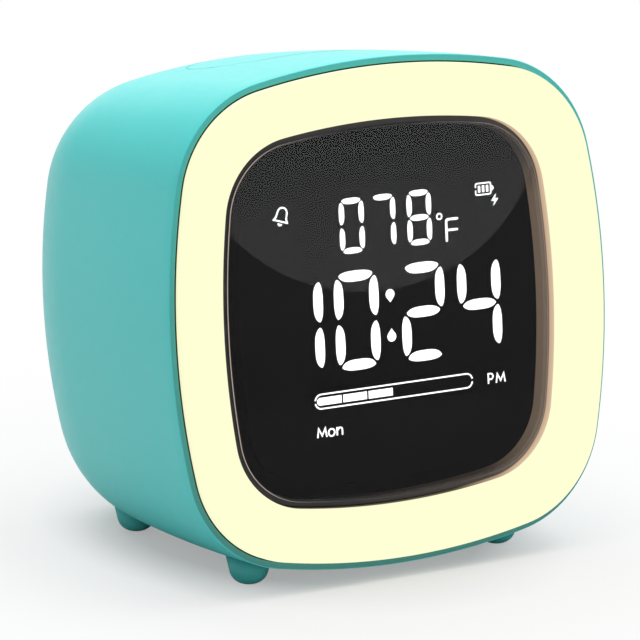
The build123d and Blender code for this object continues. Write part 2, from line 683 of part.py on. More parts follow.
def key_board():
    width = 2 * KEY_PLACES[-1] + KEY_SWITCH_SIZE
    board = RectangleRounded(width, 2 * (POST_RISE + BOSS_RADIUS), BOSS_RADIUS)
    board = Pos(0, KEY_RISE) * board - screw_holes(KEY_POSTS)
    return slab(board, KEY_BOARD_FRONT, KEY_BOARD_BACK)


def key_switches():
    switches = []
    top = KEY_BOARD_BACK + SWITCH_HEIGHT
    for x in KEY_PLACES:
        square = Pos(x, KEY_RISE) * Rectangle(KEY_SWITCH_SIZE, KEY_SWITCH_SIZE)
        body = slab(square, KEY_BOARD_BACK, top)
        switches.append(body + rod(KEY_PLUNGER, x, KEY_RISE, top, top + SWITCH_BUTTON_HEIGHT))
    return group(switches)


def key_board_screws():
    tip = KEY_BOARD_BACK + SCREW_BITE
    return group(screw(x, z, KEY_BOARD_FRONT, tip) for x, z in KEY_POSTS)


def speaker_gasket():
    ring = Circle(SPEAKER_RADIUS) - Circle(SPEAKER_RADIUS - 2 * BOSS_WALL)
    return slab(Pos(0, SPEAKER_Z) * ring, COVER_INNER - GASKET, COVER_INNER)


def speaker():
    """Small round loudspeaker: a rim on the gasket, a tapering basket and a magnet."""
    end = CLAMP_BACK + SPEAKER_RIM - SPEAKER_DEPTH
    magnet_back = end + SPEAKER_DEPTH / 2
    magnet_face = at_depth(Pos(0, SPEAKER_Z) * Circle(MAGNET_RADIUS), magnet_back)
    basket_face = at_depth(Pos(0, SPEAKER_Z) * Circle(SPEAKER_RADIUS - 2 * BOSS_WALL), CLAMP_BACK)
    rim = rod(SPEAKER_RADIUS, 0, SPEAKER_Z, CLAMP_BACK, CLAMP_BACK + SPEAKER_RIM)
    magnet = rod(MAGNET_RADIUS, 0, SPEAKER_Z, end, magnet_back)
    return rim + loft([magnet_face, basket_face], ruled=True) + magnet


def speaker_clamp():
    """Flat ring with two ears that holds the speaker's rim against the cover."""
    ring = Circle(SPEAKER_RADIUS) + SlotOverall(2 * (CLAMP_X + BOSS_RADIUS), 2 * BOSS_RADIUS)
    ring -= Circle(SPEAKER_RADIUS - BOSS_WALL)
    ring -= screw_holes([(-CLAMP_X, 0), (CLAMP_X, 0)])
    return slab(Pos(0, SPEAKER_Z) * ring, CLAMP_FRONT, CLAMP_BACK)


def speaker_screws():
    tip = COVER_INNER + COVER_THICKNESS / 2 - FIT
    return group(screw(x, SPEAKER_Z, CLAMP_FRONT, tip) for x in (-CLAMP_X, CLAMP_X))


def charge_board():
    base = SOCKET_BASE - BOARD / 2
    board = Pos(0, base) * Rectangle(CHARGE_BOARD_WIDTH, BOARD)
    return slab(board, COVER_INNER - CHARGE_BOARD_LENGTH, COVER_INNER)


def charging_socket():
    """Oval metal shell with a tongue inside, open to the back."""
    place = Pos(0, -SOCKET_DROP)
    inner = SlotOverall(SOCKET_WIDTH - 2 * SOCKET_WALL, SOCKET_HEIGHT - 2 * SOCKET_WALL)
    front = BACK_FACE - SOCKET_LENGTH
    shell = slab(place * SlotOverall(SOCKET_WIDTH, SOCKET_HEIGHT), front, BACK_FACE)
    shell -= slab(place * inner, front + SOCKET_HEIGHT / 2, BACK_FACE)
    tongue = place * Rectangle(SOCKET_WIDTH - SOCKET_HEIGHT, SOCKET_TONGUE)
    return shell + slab(tongue, front + SOCKET_HEIGHT / 2, BACK_FACE - SOCKET_HEIGHT / 2)


# The case leans back, and its lowest point clears the ground by a small gap
LEANING_FORM = Rot(-LEAN, 0, 0) * OUTER
STAND_HEIGHT = GROUND_GAP - LEANING_FORM.bounding_box().min.Z
STANCE = Pos(0, 0, STAND_HEIGHT) * Rot(-LEAN, 0, 0)
STANDING_FORM = Pos(0, 0, STAND_HEIGHT) * LEANING_FORM
FOOT_X = FRONT_WIDTH / 2 - FOOT_SIDE
FOOT_REAR_X = FRONT_WIDTH / 2 - FOOT_REAR_SIDE
FOOT_REAR = BACK_FACE - FOOT_BACK
FEET = {
    "front_left_foot": (-FOOT_X, FOOT_FRONT),
    "front_right_foot": (FOOT_X, FOOT_FRONT),
    "rear_left_foot": (-FOOT_REAR_X, FOOT_REAR),
    "rear_right_foot": (FOOT_REAR_X, FOOT_REAR),
}


def foot_peg(x, y, grow):
    """Short peg under the case's wall that locates a foot, or its socket, a little larger."""
    line = upright(Pos(x, y) * Circle(FOOT_PEG_RADIUS + grow), 0, STAND_HEIGHT)
    return (line & STANDING_FORM) - Pos(0, 0, FOOT_PEG + grow) * STANDING_FORM


def foot(x, y):
    """Round-bottomed foot whose top follows the underside of the case, with its peg."""
    top_radius = FOOT_RADIUS + FOOT_BLANK * tan(radians(FOOT_DRAFT))
    middle_low = (Align.CENTER, Align.CENTER, Align.MIN)
    cone = Cone(FOOT_RADIUS, top_radius, FOOT_BLANK, align=middle_low)
    cone = fillet(cone.edges().sort_by(Axis.Z)[0], FOOT_EDGE)
    return Pos(x, y) * cone - STANDING_FORM + foot_peg(x, y, 0)


def clock():
    """Every piece of the clock, standing on its feet, with the middle of its depth at Y = 0."""
    pieces = {
        "main_shell": main_shell(),
        "light_ring": light_ring(),
        "bezel_frame": bezel_frame(),
        "display_lens": display_lens(),
        "display_panel": display_panel(),
        "display_digits": display_digits(),
        "backlight": backlight(),
        "display_ribbon": display_ribbon(),
        "light_board": light_board(),
        "ring_leds": ring_leds(),
        "frame_screws": frame_screws(),
        "main_board": main_board(),
        "clock_chip": clock_chip(),
        "temperature_sensor": temperature_sensor(),
        "battery_tray": battery_tray(),
        "battery_cell": battery_cell(),
        "board_screws": board_screws(),
        "snooze_button": snooze_button(),
        "snooze_bridge": snooze_bridge(),
        "snooze_switch": snooze_switch(),
        "bridge_screws": bridge_screws(),
        "rear_cover": rear_cover(),
        "cover_screws": cover_screws(),
        "key_board": key_board(),
        "key_switches": key_switches(),
        "key_board_screws": key_board_screws(),
        "speaker_gasket": speaker_gasket(),
        "speaker": speaker(),
        "speaker_clamp": speaker_clamp(),
        "speaker_screws": speaker_screws(),
        "charge_board": charge_board(),
        "charging_socket": charging_socket(),
    }
    for name, x in zip(KEYS, KEY_PLACES):
        pieces[name] = key(x)
    pieces = {name: STANCE * piece for name, piece in pieces.items()}
    for name, (x, y) in FEET.items():
        pieces[name] = foot(x, y)
        pieces["main_shell"] -= foot_peg(x, y, FIT)
    boxes = [piece.bounding_box() for piece in pieces.values()]
    middle = (min(box.min.Y for box in boxes) + max(box.max.Y for box in boxes)) / 2
    return {name: Pos(0, -middle, 0) * piece for name, piece in pieces.items()}


os.makedirs("parts", exist_ok=True)
for name, piece in clock().items():
    export_step(piece, f"parts/{name}.step")
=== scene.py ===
from math import asin, atan2, cos, pi, radians, sin, sqrt

import bmesh
import bpy
from mathutils import Matrix, Vector


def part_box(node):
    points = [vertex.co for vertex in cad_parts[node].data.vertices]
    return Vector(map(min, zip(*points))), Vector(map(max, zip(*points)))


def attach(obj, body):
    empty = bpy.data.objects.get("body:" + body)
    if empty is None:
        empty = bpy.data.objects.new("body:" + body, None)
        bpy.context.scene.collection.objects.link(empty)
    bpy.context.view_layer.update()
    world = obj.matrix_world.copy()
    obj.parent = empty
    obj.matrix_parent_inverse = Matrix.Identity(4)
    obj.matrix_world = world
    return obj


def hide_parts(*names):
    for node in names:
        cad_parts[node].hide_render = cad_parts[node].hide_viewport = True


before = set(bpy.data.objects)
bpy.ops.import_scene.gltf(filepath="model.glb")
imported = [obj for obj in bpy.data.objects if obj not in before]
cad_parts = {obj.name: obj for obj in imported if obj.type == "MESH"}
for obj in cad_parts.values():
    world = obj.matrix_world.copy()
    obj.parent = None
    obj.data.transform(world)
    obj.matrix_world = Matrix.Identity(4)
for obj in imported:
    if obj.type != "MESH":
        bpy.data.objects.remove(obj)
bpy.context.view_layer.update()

# Case: one deep shell moulded in teal plastic. Its front is a bowed square with round corners, its flanks
# draw in gently, and a round shoulder leads to a smaller flat back. The whole clock leans back. The case
# takes the light ring in its open front, and a screwed cover closes its back.
mm = 0.001
weld, slack = 0.0001 * mm, 0.01 * mm
lean = radians(4.9)
front_half_height = 49.8 * mm
ring_low, ring_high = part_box("light_ring")
stand_height = ring_high.z - front_half_height * cos(lean)
stand_back = ring_low.y + front_half_height * sin(lean)
stance = Matrix.Translation((0, stand_back, stand_height)) @ Matrix.Rotation(-lean, 4, "X")


def inset(outline, by):
    """An outline that runs inside another, everywhere by the same step."""
    return tuple(size - by for size in outline)


def scaled(outline, by):
    """An outline of the same shape in another size."""
    return tuple(size * by for size in outline)


def joined(start):
    """The points and edges that hang together with one point, in order."""
    edges, reach = {}, [start]
    for point in reach:
        for edge in point.link_edges:
            if edge not in edges:
                edges[edge] = True
                reach.append(edge.other_vert(point))
    return list(dict.fromkeys(reach)), list(edges)


def arc_on(mesh, point, centre, axis, turn, steps):
    """Draws an arc on from a point and gives its far end."""
    spun = bmesh.ops.spin(mesh, geom=[point], cent=centre, axis=axis, angle=turn, steps=steps)
    return next(part for part in spun["geom_last"] if isinstance(part, bmesh.types.BMVert))


def bowed_square(mesh, outline, depth):
    """A closed loop of edges: four bowed sides that run smoothly into four round corners."""
    half_width, half_height, side_radius, top_radius, corner_radius = outline
    side_steps, corner_steps = 16, 22
    side_centre = Vector((half_width - side_radius, depth, 0))
    top_centre = Vector((0, depth, half_height - top_radius))
    between = top_centre - side_centre
    side_reach = side_radius - corner_radius
    top_reach = top_radius - corner_radius
    along = (between.length_squared + side_reach**2 - top_reach**2) / 2 / between.length
    unit = between.normalized()
    across = Vector((-unit.z, 0, unit.x)) * sqrt(side_reach**2 - along**2)
    corner_centre = side_centre + unit * along + across
    side_turn = atan2(corner_centre.z - side_centre.z, corner_centre.x - side_centre.x)
    top_turn = atan2(corner_centre.z - top_centre.z, corner_centre.x - top_centre.x)
    start = mesh.verts.new((half_width, depth, 0))
    backward = (0, -1, 0)
    tip = arc_on(mesh, start, side_centre, backward, side_turn, side_steps)
    tip = arc_on(mesh, tip, corner_centre, backward, top_turn - side_turn, corner_steps)
    arc_on(mesh, tip, top_centre, backward, pi / 2 - top_turn, side_steps)
    for axis in ("X", "Z"):
        points, edges = joined(start)
        bmesh.ops.mirror(mesh, geom=points + edges, axis=axis, merge_dist=weld)
    return joined(start)


def moulding(sections, closed):
    """Skins outlines one after another, spread out, into a closed ring or a body with flat ends.
    Each outline then goes to its own depth."""
    mesh = bmesh.new()
    spread = 5 * mm
    loops = [bowed_square(mesh, outline, place * spread) for place, (outline, depth) in enumerate(sections)]
    for (_, near), (_, far) in zip(loops, loops[1:] + loops[:1] if closed else loops[1:]):
        bmesh.ops.bridge_loops(mesh, edges=near + far)
    if not closed:
        for _, end in (loops[0], loops[-1]):
            bmesh.ops.contextual_create(mesh, geom=end)
    for place, (outline, depth) in enumerate(sections):
        bmesh.ops.translate(mesh, verts=loops[place][0], vec=(0, depth - place * spread, 0))
    bmesh.ops.recalc_face_normals(mesh, faces=mesh.faces)
    return mesh


def piece(mesh, name, sharp=35, upright=True):
    """Turns a mesh into an object. One built in the upright clock's own frame leans back with it."""
    if upright:
        bmesh.ops.transform(mesh, matrix=stance, verts=mesh.verts)
    data = bpy.data.meshes.new(name)
    mesh.to_mesh(data)
    mesh.free()
    data.shade_smooth()
    data.set_sharp_from_angle(angle=radians(sharp))
    made = bpy.data.objects.new(name, data)
    bpy.context.scene.collection.objects.link(made)
    return made


def cut(made, tool, operation):
    """Cuts one object with another, or keeps only what they share."""
    change = made.modifiers.new("cut", "BOOLEAN")
    change.object = tool
    change.operation = operation
    change.solver = "EXACT"
    bpy.context.view_layer.update()
    seen = made.evaluated_get(bpy.context.evaluated_depsgraph_get())
    old = made.data
    made.data = bpy.data.meshes.new_from_object(seen)
    made.modifiers.remove(change)
    bpy.data.meshes.remove(old)


def fit_out(made, body, slot, material, *nodes):
    """Gives a piece its material and its body, and puts it in place of its CAD nodes."""
    made.data.materials.clear()
    made.data.materials.append(material)
    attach(made, body)
    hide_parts(*nodes)


def grain_group():
    """Slow shade changes, patches of polish and the fine moulding grain of a plastic, as three values.
    Each plastic sets the scale of its own grain."""
    noises = {"Shade": (35, 3, 0.5), "Polish": (420, 2, 0.5), "Height": (0, 2, 0.6)}
    group = bpy.data.node_groups.new("moulding_grain", "ShaderNodeTree")
    group.interface.new_socket("Grain", in_out="INPUT", socket_type="NodeSocketFloat")
    for name in noises:
        group.interface.new_socket(name, in_out="OUTPUT", socket_type="NodeSocketFloat")
    start = group.nodes.new("NodeGroupInput")
    end = group.nodes.new("NodeGroupOutput")
    place = group.nodes.new("ShaderNodeTexCoord")
    for name, (scale, detail, roughness) in noises.items():
        noise = group.nodes.new("ShaderNodeTexNoise")
        noise.inputs["Scale"].default_value = scale
        noise.inputs["Detail"].default_value = detail
        noise.inputs["Roughness"].default_value = roughness
        group.links.new(place.outputs["Object"], noise.inputs["Vector"])
        group.links.new(noise.outputs["Fac"], end.inputs[name])
        if name == "Height":
            group.links.new(start.outputs["Grain"], noise.inputs["Scale"])
    return group


def srgb(red, green, blue):
    """A colour as a screen names it, 0 to 255, in the linear values that a shader takes."""
    colour = []
    for value in (red, green, blue):
        share = value / 255
        colour.append(share / 12.92 if share <= 0.04045 else ((share + 0.055) / 1.055) ** 2.4)
    return colour + [1]


def own_value(tree, name):
    """A value that a mesh carries from point to point."""
    node = tree.nodes.new("ShaderNodeAttribute")
    node.attribute_name = name
    return node.outputs["Fac"]


def ramp(tree, value, start, end, low=0, high=1, clamp=True):
    """A value that goes from low to high while another goes from start to end."""
    node = tree.nodes.new("ShaderNodeMapRange")
    node.clamp = clamp
    for name, number in (("From Min", start), ("From Max", end), ("To Min", low), ("To Max", high)):
        node.inputs[name].default_value = number
    tree.links.new(value, node.inputs["Value"])
    return node.outputs["Result"]


def blend(tree, share, first, second, way="MIX"):
    """A share of one colour over another. The lower one may also come from a socket."""
    node = tree.nodes.new("ShaderNodeMix")
    node.data_type = "RGBA"
    node.blend_type = way
    share_in, first_in, second_in = (node.inputs[place] for place in (0, 6, 7))
    colour_out = node.outputs[2]
    tree.links.new(share, share_in)
    if isinstance(first, bpy.types.NodeSocket):
        tree.links.new(first, first_in)
    else:
        first_in.default_value = first
    second_in.default_value = second
    return colour_out


grain = grain_group()
grain_depth = 0.05 * mm


def plastic(name, colour, spread=0.08, rough=(0.45, 0.6), grain_scale=2600, bump=0.25, specular=0.5):
    """A moulded plastic: one colour that drifts slightly, a satin surface and a fine grain."""
    made = bpy.data.materials.new(name)
    made.use_nodes = True
    tree = made.node_tree
    shader = tree.nodes["Principled BSDF"]
    shader.inputs["Specular IOR Level"].default_value = specular
    surface = tree.nodes.new("ShaderNodeGroup")
    surface.node_tree = grain
    surface.inputs["Grain"].default_value = grain_scale
    darker = [value * (1 - spread) for value in colour[:3]] + [1]
    lighter = [min(1, value * (1 + spread)) for value in colour[:3]] + [1]
    tree.links.new(blend(tree, surface.outputs["Shade"], darker, lighter), shader.inputs["Base Color"])
    tree.links.new(ramp(tree, surface.outputs["Polish"], 0, 1, *rough), shader.inputs["Roughness"])
    relief = tree.nodes.new("ShaderNodeBump")
    relief.inputs["Strength"].default_value = bump
    relief.inputs["Distance"].default_value = grain_depth
    tree.links.new(surface.outputs["Height"], relief.inputs["Height"])
    tree.links.new(relief.outputs["Normal"], shader.inputs["Normal"])
    return made


front_outline = (50 * mm, front_half_height, 148.2 * mm, 152.7 * mm, 22.6 * mm)
rim_width, rim_setback, rim_edge, lip_ease = 1.48 * mm, 1.9 * mm, 0.2 * mm, 0.12 * mm
rim_outline = inset(front_outline, -rim_width)
ring_gap, ring_seat = 0.15 * mm, 7.9 * mm
body_depth, flank_length, flank_radius = 79.99 * mm, 48 * mm, 560 * mm
back_share, back_edge = 0.65, 5 * mm
case_wall, back_wall = 2.2 * mm, 3.6 * mm
back_face = rim_setback + body_depth
rim_steps, flank_steps, shoulder_steps, edge_steps = 4, 16, 20, 8

flank_turn = asin(flank_length / flank_radius)
flank_inset = flank_radius * (1 - cos(flank_turn))
shoulder_run = body_depth - flank_length
shoulder_drop = rim_outline[0] * (1 - back_share) - flank_inset
shoulder_radius = (shoulder_run**2 + shoulder_drop**2) / 2
shoulder_radius /= shoulder_drop * cos(flank_turn) - shoulder_run * sin(flank_turn)
shoulder_depth = flank_length - shoulder_radius * sin(flank_turn)
shoulder_inset = flank_inset + shoulder_radius * cos(flank_turn)


def case_profile(skin, start, end, edge):
    """Depth behind the rim and inset of the case's flank, shoulder and back edge, under a skin."""
    path = []
    first = asin(start / (flank_radius - skin))
    for step in range(flank_steps + 1):
        turn = first + (flank_turn - first) * step / flank_steps
        path.append(((flank_radius - skin) * sin(turn), flank_radius - (flank_radius - skin) * cos(turn)))
    radius = shoulder_radius - skin
    last = asin((end - edge - shoulder_depth) / (radius - edge))
    for step in range(1, shoulder_steps + 1):
        turn = flank_turn + (last - flank_turn) * step / shoulder_steps
        path.append((shoulder_depth + radius * sin(turn), shoulder_inset - radius * cos(turn)))
    edge_inset = shoulder_inset - (radius - edge) * cos(last)
    for step in range(1, edge_steps + 1 if edge else 1):
        turn = last + (pi / 2 - last) * step / edge_steps
        path.append((end - edge + edge * sin(turn), edge_inset - edge * cos(turn)))
    return path


def case_section(depth, drop):
    """The case's outline where it has drawn in by a drop, with its depth from the ring's front."""
    return scaled(rim_outline, 1 - drop / rim_outline[0]), rim_setback + depth


outer_sections = []
for step in range(rim_steps):
    turn = pi / 2 * step / rim_steps
    rounding = rim_edge * (1 - sin(turn))
    outer_sections.append((inset(rim_outline, rounding), rim_setback + rim_edge * (1 - cos(turn))))
outer_sections += [case_section(*point) for point in case_profile(0, rim_edge, body_depth, back_edge)]
cavity_path = case_profile(case_wall, ring_seat - rim_setback, body_depth - back_wall, 0)
cavity_sections = [case_section(*point) for point in cavity_path]

cover_outline = inset(scaled(rim_outline, back_share), 4.2 * mm)
cover_gap, cover_ledge, cover_inner, recess_ease = 0.2 * mm, 2.5 * mm, 79.7 * mm, 0.2 * mm
case_sections = [
    (inset(front_outline, -ring_gap), ring_seat),
    (inset(front_outline, -ring_gap), rim_setback + lip_ease),
    (inset(front_outline, -ring_gap - lip_ease), rim_setback),
    *outer_sections,
    (inset(cover_outline, -cover_gap - recess_ease), back_face),
    (inset(cover_outline, -cover_gap), back_face - recess_ease),
    (inset(cover_outline, -cover_gap), cover_inner),
    (inset(cover_outline, cover_ledge), cover_inner),
    (inset(cover_outline, cover_ledge), back_face - back_wall),
    *reversed(cavity_sections),
]
mesh = moulding(case_sections, True)
# Painted shade on the rim's face: a value that darkens it more and more towards the bottom.
painted_shade_level, painted_shade_fall = 0.6, 0.37
rim_painted_shade = mesh.verts.layers.float.new("rim_painted_shade")
for point in mesh.verts:
    if point.co.y < rim_setback + slack:
        point[rim_painted_shade] = painted_shade_level - painted_shade_fall * point.co.z / rim_outline[1]
case = piece(mesh, "case_shell")
case_form = piece(moulding(outer_sections, False), "case_form")

snooze_length, snooze_width, snooze_depth = 43.2 * mm, 23 * mm, 39.98 * mm
hole_low, hole_high = 30 * mm, 60 * mm


def thickened(mesh, along):
    """Gives flat faces a thickness in one direction."""
    lid = bmesh.ops.extrude_face_region(mesh, geom=list(mesh.faces))
    moved = [part for part in lid["geom"] if isinstance(part, bmesh.types.BMVert)]
    bmesh.ops.translate(mesh, verts=moved, vec=along)
    bmesh.ops.recalc_face_normals(mesh, faces=mesh.faces)


def obround(grow, low, high):
    """A round-ended block that stands up through the case's top where the snooze bar sits."""
    mesh = bmesh.new()
    bmesh.ops.create_circle(mesh, cap_ends=True, segments=96, radius=snooze_width / 2 + grow)
    reach = (snooze_length - snooze_width) / 2
    for side in (-1, 1):
        end = [point for point in mesh.verts if (point.co.x > weld) == (side > 0)]
        bmesh.ops.translate(mesh, verts=end, vec=(side * reach, 0, 0))
    bmesh.ops.translate(mesh, verts=mesh.verts, vec=(0, snooze_depth, low))
    thickened(mesh, (0, 0, high - low))
    return mesh


snooze_hole = piece(obround(0, hole_low, hole_high), "snooze_hole")
cut(case, snooze_hole, "DIFFERENCE")
bpy.data.objects.remove(snooze_hole)


def case_plastic():
    """Teal plastic with painted shade on the rim's face, darker and darker towards the bottom."""
    made = plastic("teal_plastic", srgb(72, 200, 197), spread=0.03, rough=(0.32, 0.44), bump=0.14)
    tree = made.node_tree
    colour = tree.nodes["Principled BSDF"].inputs["Base Color"]
    teal = colour.links[0].from_socket
    # Painted shade: the rim's face is multiplied towards a darker teal.
    darker = blend(tree, own_value(tree, "rim_painted_shade"), teal, (0.6, 0.4, 0.4, 1), "MULTIPLY")
    tree.links.new(darker, colour)
    return made


teal_plastic = case_plastic()
fit_out(case, "clock_body", "case_teal", teal_plastic, "main_shell")

# Feet: four short tapered feet with round lower edges, moulded in a grained plastic. Their teal is set a
# little darker and greyer than the case's, painted shade for the dim light under the case. They stand
# upright, pegged into the leaning underside, and their tops follow it.
foot_radius, foot_edge, foot_draft, foot_top = 3.35 * mm, 3.2 * mm, radians(13), 13.5 * mm
foot_base = foot_radius - foot_edge * (1 - sin(foot_draft)) / cos(foot_draft)
# Painted shade: the feet's teal is darker and greyer than the case's.
foot_plastic = plastic("foot_plastic", srgb(72, 180, 177), spread=0.06, rough=(0.5, 0.65),
                       grain_scale=1700, bump=0.9)


def spun_round(mesh, axis, steps):
    """Spins a profile all the way round an axis into a closed body."""
    bmesh.ops.spin(mesh, geom=list(mesh.verts) + list(mesh.edges), cent=(0, 0, 0), axis=axis,
                   angle=2 * pi, steps=steps, use_merge=True)
    bmesh.ops.remove_doubles(mesh, verts=mesh.verts, dist=weld)
    bmesh.ops.recalc_face_normals(mesh, faces=mesh.faces)


for name in ("front_left_foot", "front_right_foot", "rear_left_foot", "rear_right_foot"):
    low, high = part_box(name)
    mesh = bmesh.new()
    middle = mesh.verts.new((0, 0, 0))
    base = mesh.verts.new((foot_base, 0, 0))
    mesh.edges.new((middle, base))
    side = arc_on(mesh, base, (foot_base, 0, foot_edge), (0, -1, 0), pi / 2 - foot_draft, 10)
    rise = foot_top - side.co.z
    wall = mesh.verts.new((side.co.x + rise * sin(foot_draft) / cos(foot_draft), 0, foot_top))
    crown = mesh.verts.new((0, 0, foot_top))
    mesh.edges.new((side, wall))
    mesh.edges.new((wall, crown))
    spun_round(mesh, (0, 0, 1), 72)
    stand = (low + high) / 2
    bmesh.ops.translate(mesh, verts=mesh.verts, vec=(stand.x, stand.y, low.z))
    foot = piece(mesh, name.replace("_foot", "_foot_moulding"), upright=False)
    cut(foot, case_form, "DIFFERENCE")
    fit_out(foot, "clock_body", "case_teal", foot_plastic, name)

# Snooze bar: a wide round-ended button in the case's top, moulded in the same teal plastic. It slides in its
# hole on a switch below. Its top follows the curve of the case, and its edge is eased.
snooze_gap, snooze_low, snooze_rim, snooze_ease = 0.25 * mm, 44 * mm, 45.5 * mm, 0.35 * mm
steep = radians(60)
snooze_blank = piece(obround(-snooze_gap, snooze_low, hole_high), "snooze_blank")
cut(snooze_blank, case_form, "INTERSECT")
mesh = bmesh.new()
mesh.from_mesh(snooze_blank.data)
for form in (snooze_blank, case_form):
    bpy.data.objects.remove(form)
bmesh.ops.remove_doubles(mesh, verts=mesh.verts, dist=10 * weld)
rim = [edge for edge in mesh.edges if len(edge.link_faces) == 2 and edge.calc_face_angle() > steep]
rim = [edge for edge in rim if min(point.co.z for point in edge.verts) > stand_height + snooze_rim]
bmesh.ops.bevel(mesh, geom=rim, offset=snooze_ease, offset_type="OFFSET", affect="EDGES", segments=3,
                profile=0.5, material=-1)
snooze = piece(mesh, "snooze_cap", upright=False)
fit_out(snooze, "snooze", "case_teal", teal_plastic, "snooze_button")

# Light ring: a cream moulded diffuser in the case's front, dished towards the window. Lamps behind it light
# it evenly, so its face glows pale yellow. Its inner wall glows only a dim warm tan, painted shade for a
# wall turned away from the lamps, and fades out along the bottom wall to the left.
window_outline = scaled((39, 38.8, 163.9, 160.4, 16.5), mm)
ring_dish, ring_wall, ring_skirt, ring_back, ring_ease = 2.2 * mm, 2 * mm, 1.3 * mm, 9.8 * mm, 0.1 * mm
inner_ease, inner_rise, inner_lift, glow_edge = 0.2 * mm, 0.06 * mm, 0.04 * mm, 0.05 * mm
ring_outer = inset(front_outline, ring_ease)
ring_sections = [
    (ring_outer, ring_seat),
    (ring_outer, rim_setback + glow_edge),
    (ring_outer, rim_setback - glow_edge),
    (ring_outer, lip_ease),
    (inset(front_outline, ring_ease + lip_ease), 0),
    (inset(window_outline, -inner_ease), ring_dish - inner_lift),
    (inset(window_outline, -inner_rise), ring_dish),
    (window_outline, ring_dish + lip_ease),
    (window_outline, ring_back),
    (inset(window_outline, -ring_skirt), ring_back),
    (inset(window_outline, -ring_skirt), ring_dish + ring_wall),
    (inset(front_outline, ring_skirt), ring_dish + ring_wall),
    (inset(front_outline, ring_skirt), ring_seat),
]
# The inner wall's half glow is painted shade.
shaded_wall_glow = 0.5


def ring_glow(place):
    """How strongly a point of the ring glows: fully on its face and not at all where the case or the bezel
    hides it. On the front of its inner wall it glows half, painted shade, and less and less along the bottom
    wall to the left."""
    outside = max(abs(place.x) / front_outline[0], abs(place.z) / front_outline[1]) > 0.8
    if place.y < (rim_setback if outside else ring_dish + glow_edge):
        return 1
    if outside or place.y > ring_dish + inner_ease:
        return 0
    if place.z < -0.9 * window_outline[1]:
        return shaded_wall_glow * max(0, min(1, 2.5 * place.x / window_outline[0] - 0.9))
    return shaded_wall_glow


mesh = moulding(ring_sections, True)
glow = mesh.verts.layers.float.new("glow")
for point in mesh.verts:
    point[glow] = ring_glow(point.co)
ring = piece(mesh, "ring_diffuser")


def lit_ring():
    """Cream plastic that gives off light: pale yellow on its face, and a dim tan on its inner wall as
    painted shade.
    """
    made = plastic("lit_cream", (0.12, 0.12, 0.08, 1), spread=0.03, rough=(0.5, 0.6), bump=0.08)
    tree = made.node_tree
    shader = tree.nodes["Principled BSDF"]
    light = tree.nodes.new("ShaderNodeValToRGB")
    light.color_ramp.elements[0].color = (0, 0, 0, 1)
    light.color_ramp.elements[1].color = (0.885, 0.885, 0.575, 1)
    # Painted shade: the inner wall gives off a dim tan.
    light.color_ramp.elements.new(shaded_wall_glow).color = (0.62, 0.44, 0.3, 1)
    tree.links.new(own_value(tree, "glow"), light.inputs["Fac"])
    tree.links.new(light.outputs["Color"], shader.inputs["Emission Color"])
    shader.inputs["Emission Strength"].default_value = 1
    return made


fit_out(ring, "clock_body", "ring_cream", lit_ring(), "light_ring")

# Bezel: a black moulded frame behind the ring, held by screws through its back plate. Its square nose
# carries the window pane in front and the display down its tunnel, whose walls give off painted warm light
# where the ring's light would fall.
lens_back, tunnel_inset, flange_inset = 3.65 * mm, 1.7 * mm, 2.4 * mm
plate_front, plate_back = 11.4 * mm, 13 * mm
nose_gap, nose_ease = 0.15 * mm, 0.1 * mm
nose_outline = inset(window_outline, nose_gap)
tunnel_outline = inset(window_outline, tunnel_inset)
bezel_sections = [
    (inset(front_outline, flange_inset), plate_back),
    (inset(front_outline, flange_inset), plate_front),
    (nose_outline, plate_front),
    (nose_outline, lens_back + nose_ease),
    (inset(nose_outline, nose_ease), lens_back),
    (tunnel_outline, lens_back),
    (tunnel_outline, plate_front),
]


def tunnel_painted_light(place):
    """How much painted warm light a point inside the nose gives off in place of the ring's light: most on
    the right wall, less at its top, and a little on the bottom wall, more to the right."""
    within = inset(nose_outline, nose_ease / 2)
    if abs(place.x) >= within[0] or abs(place.z) >= within[1] or place.y > plate_front + slack:
        return 0
    across, up = place.x / tunnel_outline[0], place.z / tunnel_outline[1]
    right_wall = max(0, across - 0.6) / 0.4 * max(0.25, min(1, 2.6 - 3 * up))
    bottom_wall = 0.22 * max(0, -up - 0.6) / 0.4 * max(0, 0.4 + across)
    return min(1, right_wall + bottom_wall)


mesh = moulding(bezel_sections, False)
painted_warmth = mesh.verts.layers.float.new("painted_warmth")
for point in mesh.verts:
    point[painted_warmth] = tunnel_painted_light(point.co)
bezel = piece(mesh, "bezel_moulding")


def give_off_painted_light(made, name, colour):
    """Lets a material give off a colour as painted light, as strongly as its mesh's own value says, and
    gives that value.
    """
    tree = made.node_tree
    shader = tree.nodes["Principled BSDF"]
    strength = own_value(tree, name)
    tree.links.new(blend(tree, strength, (0, 0, 0, 1), colour), shader.inputs["Emission Color"])
    shader.inputs["Emission Strength"].default_value = 1
    return strength


bezel_black = plastic("bezel_black", srgb(24, 23, 23), spread=0.1, rough=(0.35, 0.5), bump=0.1)
# Painted light: the tunnel walls give off a warm brown in place of the ring's light.
give_off_painted_light(bezel_black, "painted_warmth", (0.16, 0.115, 0.08, 1))
fit_out(bezel, "clock_body", "bezel_black", bezel_black, "bezel_frame")

# Display figures: the lit white segments of the display, leaf-like strokes with small signs around them.
# They are one thin layer on the front of the black display glass, behind the pane.
figure_front, figure_thickness, figure_shift = 3.75 * mm, 0.08 * mm, 0.5 * mm
stroke_width, outer_share, stroke_push = 2.2 * mm, 0.36, 0.14
upright_length, level_length = 8.05 * mm, 7.9 * mm
figure_reach, figure_rise, upright_rise = 4.14 * mm, 8.95 * mm, 4.58 * mm
figures = bmesh.new()


